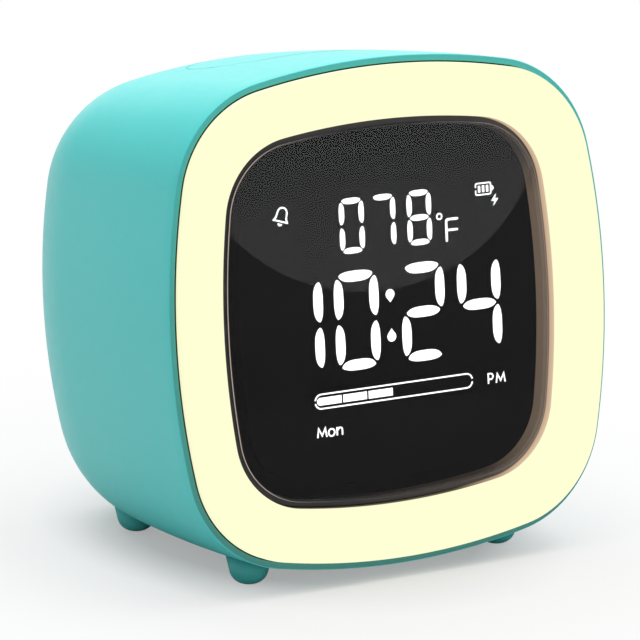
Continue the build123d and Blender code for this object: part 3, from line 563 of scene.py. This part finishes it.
def settle(layer, mesh, turn, x, z):
    """Turns a flat figure in its own plane, moves it to its place and adds it to its layer."""
    place = Matrix.Translation((x, 0, z)) @ Matrix.Rotation(-turn, 4, "Y")
    bmesh.ops.transform(mesh, matrix=place, verts=mesh.verts)
    figure = bpy.data.meshes.new("figure")
    mesh.to_mesh(figure)
    mesh.free()
    layer.from_mesh(figure)
    bpy.data.meshes.remove(figure)


def leaf(length, outer, inner):
    """One segment: a leaf with blunt pointed ends whose outer side is flatter than its inner side."""
    mesh = bmesh.new()
    upright = Matrix.Rotation(pi / 2, 4, "X")
    bmesh.ops.create_circle(mesh, cap_ends=True, segments=48, radius=1, matrix=upright)
    for point in mesh.verts:
        along = max(-1, min(1, point.co.x))
        height, fullness, ease = (outer, 3, 0.7) if point.co.z > 0 else (-inner, 3.2, 0.62)
        point.co.z = height * (1 - abs(along) ** fullness) ** ease
        point.co.x = along * length / 2
    bmesh.ops.remove_doubles(mesh, verts=mesh.verts, dist=weld)
    return mesh


def digit(layer, lit, x, z, size):
    """A seven-stroke figure from the letters of its lit strokes."""
    stroke = stroke_width * size
    outer, inner, push = outer_share * stroke, (1 - outer_share) * stroke, stroke_push * stroke
    for name in lit:
        right = {"b": 1, "c": 1, "e": -1, "f": -1}.get(name, 0)
        upper = {"a": 1, "b": 1, "f": 1, "c": -1, "d": -1, "e": -1}.get(name, 0)
        if right:
            mesh = leaf(upright_length * size, outer, inner)
            across, up = right * (figure_reach * size + push), upper * upright_rise * size
            settle(layer, mesh, -right * pi / 2, x + across, z + up)
        elif upper:
            mesh = leaf(level_length * size, outer, inner)
            settle(layer, mesh, 0 if upper > 0 else pi, x, z + upper * (figure_rise * size + push))
        else:
            settle(layer, leaf(level_length * size, stroke / 2, stroke / 2), 0, x, z)


figure_strokes = {"0": "abcdef", "1": "bc", "2": "abdeg", "4": "bcfg", "7": "abc", "8": "abcdefg"}
time_places, time_height = (-20.95, -7.85, 7.85, 21.4), -1.1
for figure, x in zip("1024", time_places):
    digit(figures, figure_strokes[figure], x * mm, time_height * mm, 1)
heat_places, heat_height, heat_size = (-8.16, -0.72, 7.8), 18.0, 0.557
for figure, x in zip("078", heat_places):
    digit(figures, figure_strokes[figure], x * mm, heat_height * mm, heat_size)


def filled(layer, corners, x, z, turn=0):
    """A flat figure from its corner points in millimetres."""
    mesh = bmesh.new()
    mesh.faces.new([mesh.verts.new((across * mm, 0, up * mm)) for across, up in corners])
    settle(layer, mesh, turn, x * mm, z * mm)


def block(layer, left, right, half_height, x, z):
    """A flat upright rectangle in millimetres."""
    corners = [(left, -half_height), (right, -half_height), (right, half_height), (left, half_height)]
    filled(layer, corners, x, z)


def arc(x, z, radius, start, end, steps):
    """Points along a round stretch of an outline."""
    turns = [start + (end - start) * step / steps for step in range(steps + 1)]
    return [(x + radius * cos(turn), z + radius * sin(turn)) for turn in turns]


def ribbon(layer, path, width, x, z, turn=0, closed=False, rounded=False):
    """A line of one width along a path of points in millimetres, mitred where it bends."""
    points = [Vector(point) for point in path]
    left, right = [], []
    for place, point in enumerate(points):
        before = points[place - 1] if place or closed else point
        after = points[(place + 1) % len(points)] if closed or place + 1 < len(points) else point
        into = (point - before).normalized()
        out = (after - point).normalized()
        into, out = into if into.length else out, out if out.length else into
        along = (into + out).normalized()
        reach = width / 2 / max(0.4, along.dot(into))
        left.append(point + Vector((-along.y, along.x)) * reach)
        right.append(point - Vector((-along.y, along.x)) * reach)
    if closed:
        mesh = bmesh.new()
        loops = []
        for side in (left, right):
            corners = [mesh.verts.new((point.x * mm, 0, point.y * mm)) for point in side]
            loops += [mesh.edges.new((corners[place - 1], corners[place])) for place in range(len(corners))]
        bmesh.ops.triangle_fill(mesh, edges=loops, use_beauty=True)
        settle(layer, mesh, turn, x * mm, z * mm)
        return
    if rounded:
        for end, way in ((points[-1], points[-1] - points[-2]), (points[0], points[0] - points[1])):
            heading = atan2(way.y, way.x)
            cap = arc(end.x, end.y, width / 2, heading + pi / 2, heading - pi / 2, 8)[1:-1]
            if end is points[-1]:
                left += [Vector(point) for point in cap]
            else:
                right = [Vector(point) for point in reversed(cap)] + right
    filled(layer, left + right[::-1], x, z, turn)


# The colon's two drops point towards each other.
drop = arc(0, 0, 1.03, radians(-28), radians(208), 20) + [(0, -1.65)]
colon_x, upper_drop, lower_drop = 0.1, 3.26, -5.34
filled(figures, drop, colon_x, upper_drop)
filled(figures, drop, colon_x, lower_drop, pi)

# Alarm bell, tilted as it rings, with its clapper.
bell_x, bell_z, bell_tilt = -24.7, 20.4, radians(-17)
dome = arc(0, 1.85, 1.08, radians(8), radians(172), 14)
bell = dome + [(-1.22, 0.8), (-1.6, 0.16), (1.6, 0.16), (1.22, 0.8)]
ribbon(figures, bell, 0.33, bell_x, bell_z, bell_tilt, closed=True)
filled(figures, arc(0, -0.3, 0.52, pi, 2 * pi, 12), bell_x, bell_z, bell_tilt)

# Degree ring and F.
degree_x, degree_z, degree_radius = 12.55, 17.7, 0.58
ribbon(figures, arc(0, 0, degree_radius, 0, radians(345), 23), 0.32, degree_x, degree_z, closed=True)
letter_f_x, letter_f_z = 14.15, 12.63
stem = [(0, 0)] + arc(0.5, 3.78, 0.5, pi, pi / 2, 6) + [(2.62, 4.28)]
ribbon(figures, stem, 0.5, letter_f_x, letter_f_z, rounded=True)
ribbon(figures, [(0.3, 2.1), (2.5, 2.1)], 0.48, letter_f_x, letter_f_z, rounded=True)

# Battery with three bars and a charging bolt.
battery_x, battery_z = 23.35, 22.25
shell = [(-1.82, 0.35)] + arc(-1.47, 0.82, 0.35, pi, pi / 2, 5) + arc(1.47, 0.82, 0.35, pi / 2, 0, 5)
shell += arc(1.47, -0.82, 0.35, 0, -pi / 2, 5) + arc(-1.47, -0.82, 0.35, -pi / 2, -pi, 5) + [(-1.82, -0.2)]
ribbon(figures, shell, 0.29, battery_x, battery_z)
bar_pitch, bar_half_width, bar_half_height = 0.97, 0.27, 0.68
for step in (-1, 0, 1):
    x = bar_pitch * step
    block(figures, x - bar_half_width, x + bar_half_width, bar_half_height, battery_x, battery_z)
filled(figures, [(2.05, -0.55), (2.5, -0.25), (2.5, 0.25), (2.05, 0.55)], battery_x, battery_z)
bolt_x, bolt_z = 26.05, 19.79
bolt = [(0.3, 1.22), (-0.85, -0.2), (-0.1, -0.2), (-0.35, -1.22), (0.85, 0.25), (0.1, 0.25)]
filled(figures, bolt, bolt_x, bolt_z)

# Seconds bar: a round-ended line with a break at each end, and three filled cells.
seconds_z, seconds_shift, seconds_half, seconds_radius, cell_half_height = -16.5, 0.2, 18.92, 1.45, 0.78
for half in (0, pi):
    curve = arc(seconds_half - seconds_radius - 0.2, 0, seconds_radius, radians(13), pi / 2, 12)
    curve += arc(seconds_radius + 0.2 - seconds_half, 0, seconds_radius, pi / 2, radians(169), 12)
    ribbon(figures, curve, 0.3, seconds_shift, seconds_z, half)
first_cell = [(-12.35, -cell_half_height), (-12.35, cell_half_height)]
first_cell += arc(-17.3, 0, cell_half_height, pi / 2, 3 * pi / 2, 14)
filled(figures, first_cell, 0, seconds_z)
for start, end in ((-11.93, -6.36), (-5.94, -0.24)):
    block(figures, start, end, cell_half_height, 0, seconds_z)

# Letters of the half-day and the weekday.
half_day_z, weekday_z, capital_line, small_line = -17.75, -23.75, 0.32, 0.33
letter_m = [(0.15, 0), (0.45, 1.8), (1.22, 0.4), (2, 1.8), (2.3, 0)]
ribbon(figures, letter_m, capital_line, 24.55, half_day_z)
letter_p_x = 22.6
bowl = [(0.36, 2.04), (0.7, 2.04)] + arc(0.75, 1.46, 0.58, pi / 2, -pi / 2, 10) + [(0.36, 0.88)]
ribbon(figures, [(0.2, 0), (0.2, 2.2)], capital_line, letter_p_x, half_day_z)
ribbon(figures, bowl, capital_line, letter_p_x, half_day_z)
ribbon(figures, letter_m, capital_line, -18.45, weekday_z)
letter_o_x, letter_o_radius, letter_o_rise = -15.0, 0.72, 0.77
letter_o = arc(0, 0, letter_o_radius, 0, radians(345), 23)
ribbon(figures, letter_o, small_line, letter_o_x, weekday_z + letter_o_rise, closed=True)
letter_n_x = -13.9
arch = [(0.4, 1.02)] + arc(0.92, 1.02, 0.5, pi, 0, 10)[1:] + [(1.42, 0)]
ribbon(figures, [(0.2, 0), (0.2, 1.7)], small_line, letter_n_x, weekday_z)
ribbon(figures, arch, small_line, letter_n_x, weekday_z)


def printed_layer(layer, thickness):
    """Turns a layer of flat figures towards the reader and gives it its thickness, away from them."""
    bmesh.ops.remove_doubles(layer, verts=layer.verts, dist=weld)
    for face in layer.faces:
        face.normal_update()
        if face.normal.y > 0:
            face.normal_flip()
    thickened(layer, (0, thickness, 0))


printed_layer(figures, figure_thickness)
bmesh.ops.translate(figures, verts=figures.verts, vec=(figure_shift, figure_front, 0))
display_figures = piece(figures, "display_figures")
figure_white = plastic("figure_white", srgb(235, 235, 235), spread=0.01, rough=(0.5, 0.6), bump=0.05)
figure_white.node_tree.nodes["Principled BSDF"].inputs["Emission Color"].default_value = (1, 1, 1, 1)
figure_white.node_tree.nodes["Principled BSDF"].inputs["Emission Strength"].default_value = 1.3
fit_out(display_figures, "clock_body", "digit_white", figure_white, "display_digits")

# Window pane: one clear smoked acrylic sheet, cut to the window's shape and bonded to the bezel's nose. Its
# front edge is eased and polished, and a painted highlight on it stands for the ring's light carried round
# the display.
lens_outline, lens_front = inset(window_outline, 1.2 * mm), 2.6 * mm
edge_radius, edge_rise, edge_end = 0.2 * mm, 0.06 * mm, 0.24 * mm
lens_sections = [
    (lens_outline, lens_back),
    (lens_outline, lens_front + edge_end),
    (lens_outline, lens_front + edge_radius),
    (inset(lens_outline, edge_rise), lens_front + edge_rise),
    (inset(lens_outline, edge_radius), lens_front),
    (inset(lens_outline, edge_end), lens_front),
]
front_cover, back_mark = 0.2, -0.25


def pane_painted_highlight(place):
    """How much painted highlight a point of the pane shows: most on its edge at the sides, a little along
    the bottom edge and none on its front. The back is marked below nought, to be left wholly clear."""
    if place.y > lens_back - slack:
        return back_mark
    if not lens_front + slack < place.y < lens_front + (edge_radius + edge_end) / 2:
        return 0
    low_edge = 0.3 if place.z < -0.8 * lens_outline[1] else 0
    return max(low_edge, min(1, (abs(place.x) / lens_outline[0] - 0.2) / 0.6))


mesh = moulding(lens_sections, False)
painted_shine = mesh.verts.layers.float.new("painted_shine")
for point in mesh.verts:
    point[painted_shine] = pane_painted_highlight(point.co)
lens = piece(mesh, "window_pane", sharp=10)


def smoked_pane():
    """Dark clear acrylic with a painted highlight on its edge. It covers a fifth of what is behind its
    front, all of what is behind its brightest edge, and nothing at its back."""
    made = plastic("smoked_pane", srgb(42, 42, 43), spread=0.05, rough=(0, 0), bump=0)
    tree = made.node_tree
    shader = tree.nodes["Principled BSDF"]
    shader.inputs["IOR"].default_value = 1.5
    # Painted highlight: the pane's edge gives off a pale warm colour.
    painted_edge_light = give_off_painted_light(made, "painted_shine", (0.42, 0.34, 0.3, 1))
    tree.links.new(ramp(tree, painted_edge_light, 0, 1, front_cover, 1, clamp=False), shader.inputs["Alpha"])
    made.surface_render_method = "BLENDED"
    return made


fit_out(lens, "clock_body", "lens_smoked", smoked_pane(), "display_lens")

# Display glass and ribbon: a black glass panel and the light box behind it, seated in the bezel's tunnel. A
# flat cable of amber film, with a black stiffener at the panel, leads from it to the main board.
display_black = plastic("display_black", srgb(6, 6, 7), spread=0.1, rough=(0.35, 0.5), bump=0.02, specular=0)
stiffener_end, film_start = 9 * mm, 9.5 * mm


def finish_nodes(material, *names):
    """Gives pieces that keep their CAD shape a material."""
    for name in names:
        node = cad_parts[name]
        node.data.materials.clear()
        node.data.materials.append(material)


def ribbon_film():
    """Amber polyimide film with a black stiffener where it meets the display."""
    made = plastic("ribbon_amber", srgb(196, 122, 38), spread=0.1, rough=(0.25, 0.35), bump=0.05, specular=0)
    tree = made.node_tree
    colour = tree.nodes["Principled BSDF"].inputs["Base Color"]
    amber = colour.links[0].from_socket
    place = tree.nodes.new("ShaderNodeTexCoord")
    parts = tree.nodes.new("ShaderNodeSeparateXYZ")
    tree.links.new(place.outputs["Object"], parts.inputs["Vector"])
    front = ramp(tree, parts.outputs["Y"], stand_back + film_start, stand_back + stiffener_end)
    tree.links.new(blend(tree, front, amber, (0.002, 0.002, 0.002, 1)), colour)
    return made


finish_nodes(display_black, "display_panel", "backlight")
finish_nodes(ribbon_film(), "display_ribbon")

# Boards: green glass-fibre boards for the ring's lamps, the clock, the keys and the charging, screwed down
# inside. Yellow lamps, black moulded components and the steel charging socket are soldered to them.
board_green = plastic("board_green", srgb(28, 92, 52), spread=0.3, rough=(0.3, 0.45),
                      grain_scale=900, bump=0.2)
lamp_yellow = plastic("lamp_yellow", srgb(238, 214, 120), spread=0.05, rough=(0.2, 0.3), bump=0.05)
component_black = plastic("component_black", srgb(32, 32, 34), spread=0.15, rough=(0.4, 0.6))


def metal(name, colour, **finish):
    """A metal surface with the same drift and grain as the plastics."""
    made = plastic(name, colour, **finish)
    made.node_tree.nodes["Principled BSDF"].inputs["Metallic"].default_value = 1
    return made


socket_steel = metal("socket_steel", srgb(200, 200, 200), spread=0.06, rough=(0.2, 0.3), bump=0.1)
finish_nodes(board_green, "light_board", "main_board", "key_board", "charge_board")
finish_nodes(lamp_yellow, "ring_leds")
finish_nodes(component_black, "clock_chip", "temperature_sensor", "snooze_switch", "key_switches")
finish_nodes(socket_steel, "charging_socket")

# Battery and white mouldings: a cell in a foil pouch, and plain white plastic pieces that are screwed down.
# The tray holds the cell, the bridge carries the snooze bar's switch and the clamp holds the speaker.
white_moulding = plastic("white_moulding", srgb(226, 226, 220), spread=0.02)
battery_foil = metal("battery_foil", srgb(176, 178, 182), spread=0.1, rough=(0.3, 0.45),
                     grain_scale=700, bump=0.3)
finish_nodes(white_moulding, "battery_tray", "snooze_bridge", "speaker_clamp")
finish_nodes(battery_foil, "battery_cell")

# Speaker: a small round loudspeaker in a black metal basket, behind the holes in the rear cover. Its rim is
# clamped on a ring of black foam.
speaker_black = plastic("speaker_black", srgb(26, 26, 27), spread=0.2, rough=(0.6, 0.8),
                        grain_scale=1500, bump=0.5)
gasket_foam = plastic("gasket_foam", srgb(58, 58, 60), spread=0.25, rough=(0.85, 0.95),
                      grain_scale=1200, bump=0.9)
finish_nodes(speaker_black, "speaker")
finish_nodes(gasket_foam, "speaker_gasket")

# Rear cover and screws: a flat teal moulding that closes the case's back, with holes for the keys, the
# speaker and the socket. Zinc-plated steel screws hold it, the bezel, the boards and the white mouldings.
screw_steel = metal("screw_steel", srgb(190, 190, 188), spread=0.1, rough=(0.25, 0.4), bump=0.15)
finish_nodes(teal_plastic, "rear_cover")
finish_nodes(screw_steel, "frame_screws", "board_screws", "bridge_screws", "cover_screws",
             "key_board_screws", "speaker_screws")

# Rear keys: four round keys moulded in teal silicone, each with a dished face and a flange that keeps it
# behind the cover. A white mark is printed in each dish: bell, clock face, up and down.
key_face, key_radius, key_edge = back_face + 1 * mm, 3.4 * mm, 0.5 * mm
edge_centre = (key_radius - key_edge, key_face - key_edge, 0)
dish_reach, dish_drop = 2.7 * mm, 0.15 * mm
dish_radius = (dish_reach**2 + dish_drop**2) / 2 / dish_drop
dish_bottom = key_face - dish_drop
flange_width, flange_thickness, flange_gap = 1 * mm, 1 * mm, 0.1 * mm
flange_radius = key_radius + flange_width
flange_top = cover_inner - flange_gap
flange_bottom = flange_top - flange_thickness
mark_thickness, mark_line, hand_line, arrow_line, bell_drop = 0.06 * mm, 0.34, 0.32, 0.45, -1.2
downward = (0, 0, -1)
key_rubber = plastic("key_rubber", srgb(58, 176, 172), spread=0.04, rough=(0.55, 0.7),
                     grain_scale=2000, bump=0.35)
mark_white = plastic("mark_white", srgb(236, 238, 236), spread=0.02, rough=(0.5, 0.6), bump=0.05)
for name in ("alarm_key", "set_key", "up_key", "down_key"):
    low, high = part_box(name)
    middle = stance.inverted() @ ((low + high) / 2)
    mesh = bmesh.new()
    dish = mesh.verts.new((0, dish_bottom, 0))
    dish_turn = -asin(dish_reach / dish_radius)
    point = arc_on(mesh, dish, (0, dish_bottom + dish_radius, 0), downward, dish_turn, 8)
    shelf = mesh.verts.new((key_radius - key_edge, key_face, 0))
    mesh.edges.new((point, shelf))
    point = arc_on(mesh, shelf, edge_centre, downward, pi / 2, 6)
    for radius, depth in ((key_radius, flange_top), (flange_radius, flange_top),
                          (flange_radius, flange_bottom), (0, flange_bottom)):
        corner = mesh.verts.new((radius, depth, 0))
        mesh.edges.new((point, corner))
        point = corner
    spun_round(mesh, (0, 1, 0), 64)
    bmesh.ops.translate(mesh, verts=mesh.verts, vec=(middle.x, 0, middle.z))
    key = piece(mesh, name + "_cap")
    fit_out(key, name, "key_teal", key_rubber, name)
    mark = bmesh.new()
    if name == "alarm_key":
        ribbon(mark, bell, mark_line, 0, bell_drop, closed=True)
        filled(mark, arc(0, -0.3, 0.5, pi, 2 * pi, 12), 0, bell_drop)
    elif name == "set_key":
        ribbon(mark, arc(0, 0, 1.55, 0, radians(350), 35), mark_line, 0, 0, closed=True)
        ribbon(mark, [(0, 0.95), (0, 0), (0.62, -0.36)], hand_line, 0, 0)
    else:
        arrow = [(-1.3, -0.6), (0, 0.7), (1.3, -0.6)]
        ribbon(mark, arrow, arrow_line, 0, 0, 0 if name == "up_key" else pi)
    printed_layer(mark, mark_thickness)
    in_dish = Matrix.Translation((middle.x, dish_bottom + mark_thickness, middle.z))
    bmesh.ops.transform(mark, matrix=in_dish @ Matrix.Rotation(pi, 4, "Z"), verts=mark.verts)
    printed = piece(mark, name + "_mark")
    printed.data.materials.append(mark_white)
    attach(printed, name)

# Studio: a white paper floor that runs out to white, a broad light overhead, a back light that shows only as
# a gloss, and one round softbox at the right that the window pane mirrors.
floor_size = 4
floor_mesh = bmesh.new()
bmesh.ops.create_grid(floor_mesh, x_segments=1, y_segments=1, size=floor_size)
floor = piece(floor_mesh, "floor", upright=False)


def floor_paper():
    """White paper that keeps part of the clock's shadow near it and runs out to plain white further off.
    Painted white light, mixed in for the camera, lightens the shadow by a third under the clock and more
    further out.
    Glossy pieces mirror only its far part as white."""
    made = bpy.data.materials.new("floor_paper")
    made.use_nodes = True
    tree = made.node_tree
    nodes, links = tree.nodes, tree.links
    shader = nodes["Principled BSDF"]
    shader.inputs["Base Color"].default_value = (0.62, 0.62, 0.62, 1)
    shader.inputs["Roughness"].default_value = 1
    shader.inputs["Specular IOR Level"].default_value = 0
    place = nodes.new("ShaderNodeTexCoord")
    oval = nodes.new("ShaderNodeVectorMath")
    oval.operation = "MULTIPLY"
    oval.inputs[1].default_value = (1, 0.7, 1)
    links.new(place.outputs["Object"], oval.inputs[0])
    length = nodes.new("ShaderNodeVectorMath")
    length.operation = "LENGTH"
    links.new(oval.outputs["Vector"], length.inputs[0])

    def worked_out(operation, *values):
        """The sum or product of values that come from sockets."""
        node = nodes.new("ShaderNodeMath")
        node.operation = operation
        for socket, value in zip(node.inputs, values):
            links.new(value, socket)
        return node.outputs["Value"]

    reach = length.outputs["Value"]
    # Painted light: white is mixed into the shadow, a third under the clock and wholly from 120 mm out.
    under = ramp(tree, reach, 33 * mm, 50 * mm, 0.35, 0.67)
    around = ramp(tree, reach, 60 * mm, 120 * mm, 0, 0.33)
    far_off = ramp(tree, reach, 350 * mm, 600 * mm)
    path = nodes.new("ShaderNodeLightPath")
    seen = worked_out("MULTIPLY", path.outputs["Is Camera Ray"], worked_out("ADD", under, around))
    share = worked_out("MULTIPLY_ADD", path.outputs["Is Glossy Ray"], far_off, seen)
    white = nodes.new("ShaderNodeEmission")
    mixed = nodes.new("ShaderNodeMixShader")
    links.new(share, mixed.inputs["Fac"])
    links.new(shader.outputs["BSDF"], mixed.inputs[1])
    links.new(white.outputs["Emission"], mixed.inputs[2])
    links.new(mixed.outputs["Shader"], nodes["Material Output"].inputs["Surface"])
    return made


floor.data.materials.append(floor_paper())

world = bpy.data.worlds.new("studio")
world.use_nodes = True
world.node_tree.nodes["Background"].inputs["Color"].default_value = (1, 1, 1, 1)
world.node_tree.nodes["Background"].inputs["Strength"].default_value = 0.55
bpy.context.scene.world = world


def facing(holder, place, aim):
    """Sets a lamp or the camera in its place, turned towards a point, and adds it to the scene."""
    holder.location = place
    holder.rotation_euler = (Vector(aim) - Vector(place)).to_track_quat("-Z", "Y").to_euler()
    bpy.context.scene.collection.objects.link(holder)


def soft_light(name, place, aim, power, shape, width, height):
    """A flat lamp that the camera does not see."""
    lamp = bpy.data.lights.new(name, "AREA")
    lamp.shape = shape
    lamp.size = width
    lamp.size_y = height
    lamp.energy = power
    holder = bpy.data.objects.new(name, lamp)
    facing(holder, place, aim)
    holder.visible_camera = False
    return holder


soft_light("overhead", place=(0.1, 0.1, 1.3), aim=(0, 0, 0), power=20,
           shape="RECTANGLE", width=1.2, height=1.2)
soft_light("softbox", place=(0.2075, -0.382, 0.0775), aim=(-0.3145, 0.471, 0.0775), power=0.061,
           shape="ELLIPSE", width=0.099, height=0.094)
back_light = soft_light("back_light", place=(0.55, 0.9, 0.4), aim=(0, 0, 0.1), power=1.7,
                        shape="RECTANGLE", width=1.2, height=0.6)
back_light.visible_diffuse = False

# The camera stands where the photograph was taken from, as fitted to the clock's outlines in it.
aim = stance.translation + Vector((-18.322, 0.049, 0.576)) * mm
azimuth, elevation, distance = radians(-31.45), radians(12.575), 951.5 * mm
towards = Vector((sin(azimuth) * cos(elevation), -cos(azimuth) * cos(elevation), sin(elevation)))
camera = bpy.data.cameras.new("camera")
camera.sensor_width = 36
camera.lens = 270.15
viewer = bpy.data.objects.new("camera", camera)
facing(viewer, aim + distance * towards, aim)
bpy.context.scene.camera = viewer
bpy.context.scene.view_settings.view_transform = "Standard"
